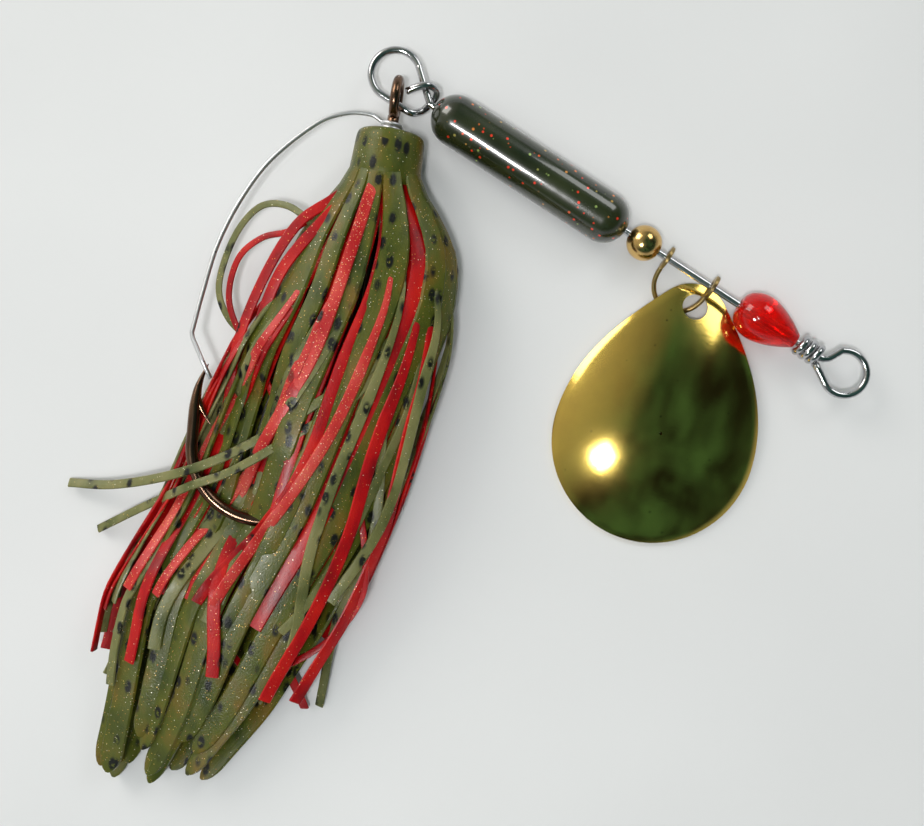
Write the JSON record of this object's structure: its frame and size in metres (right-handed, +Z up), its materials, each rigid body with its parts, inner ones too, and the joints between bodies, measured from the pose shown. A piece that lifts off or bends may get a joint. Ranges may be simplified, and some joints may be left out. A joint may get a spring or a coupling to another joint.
{
  "type": "in-line spinnerbait",
  "caption": "In-line spinnerbait: wire shaft with line tie, weighted body, beads, clevis and cupped blade, and a trailing weedless hook in a strand skirt.",
  "frame": {"origin": "bottom centre of the bounding box, on the surface the lure lies on", "axes": "+X along the wire shaft from the hook loop to the line tie, +Z up from the surface"},
  "size_m": [0.0698, 0.0876, 0.0101],
  "materials": {
    "steel_wire": "polished",
    "body_paint": "gloss with fine glitter",
    "brass": "polished",
    "gold_plate": "mirror",
    "red_plastic": "clear gloss",
    "bronzed_steel": "bronzed",
    "green_skirt": "translucent with dark flakes and glitter",
    "red_skirt": "translucent",
    "band_rubber": "matte"
  },
  "bodies": {
    "shaft": {"shaft_wire": "steel_wire"},
    "body": {"weighted_body": "body_paint"},
    "brass_bead": {"brass_bead": "brass"},
    "red_bead": {"red_bead": "red_plastic"},
    "clevis": {"clevis": "brass"},
    "blade": {"blade": "gold_plate"},
    "hook": {"hook": "bronzed_steel", "moulded_skirt": "green_skirt", "skirt_band": "band_rubber", "red_strand_01": "red_skirt", "red_strand_02": "red_skirt", "red_strand_03": "red_skirt", "red_strand_04": "red_skirt", "red_strand_05": "red_skirt", "red_strand_06": "red_skirt", "red_strand_07": "red_skirt", "red_strand_08": "red_skirt", "red_strand_09": "red_skirt", "red_strand_10": "red_skirt", "red_strand_11": "red_skirt", "red_strand_12": "red_skirt", "green_strand_01": "green_skirt", "green_strand_02": "green_skirt", "green_strand_03": "green_skirt", "green_strand_04": "green_skirt", "green_strand_05": "green_skirt", "green_strand_06": "green_skirt", "green_strand_07": "green_skirt", "green_strand_08": "green_skirt"},
    "weed_guard": {"weed_guard": "steel_wire"}
  },
  "joints": [
    {"name": "body_spin", "type": "hinge", "parent": "shaft", "child": "body", "pos_m": [-0.00997, 0.04002, 0.00294], "axis": [1, 0, 0], "continuous": true},
    {"name": "brass_bead_spin", "type": "hinge", "parent": "shaft", "child": "brass_bead", "pos_m": [0.00528, 0.04002, 0.00294], "axis": [1, 0, 0], "continuous": true},
    {"name": "red_bead_spin", "type": "hinge", "parent": "shaft", "child": "red_bead", "pos_m": [0.0217, 0.04002, 0.00294], "axis": [1, 0, 0], "continuous": true},
    {"name": "clevis_spin", "type": "hinge", "parent": "shaft", "child": "clevis", "pos_m": [0.01113, 0.04002, 0.00294], "axis": [1, 0, 0], "continuous": true},
    {"name": "blade_swing", "type": "hinge", "parent": "clevis", "child": "blade", "pos_m": [0.01375, 0.03727, 0.0016], "axis": [0, 0, 1], "range_deg": [-20, 0]},
    {"name": "hook_swing", "type": "hinge", "parent": "shaft", "child": "hook", "pos_m": [-0.02837, 0.0407, 0.00294], "axis": [0, 0, 1], "range_deg": [-180, 0]},
    {"name": "guard_flex", "type": "hinge", "parent": "hook", "child": "weed_guard", "pos_m": [-0.02529, 0.03524, 0.0039], "axis": [0, 0, 1], "range_deg": [0, 8], "stiffness_Nm_per_rad": 0.02}
  ]
}
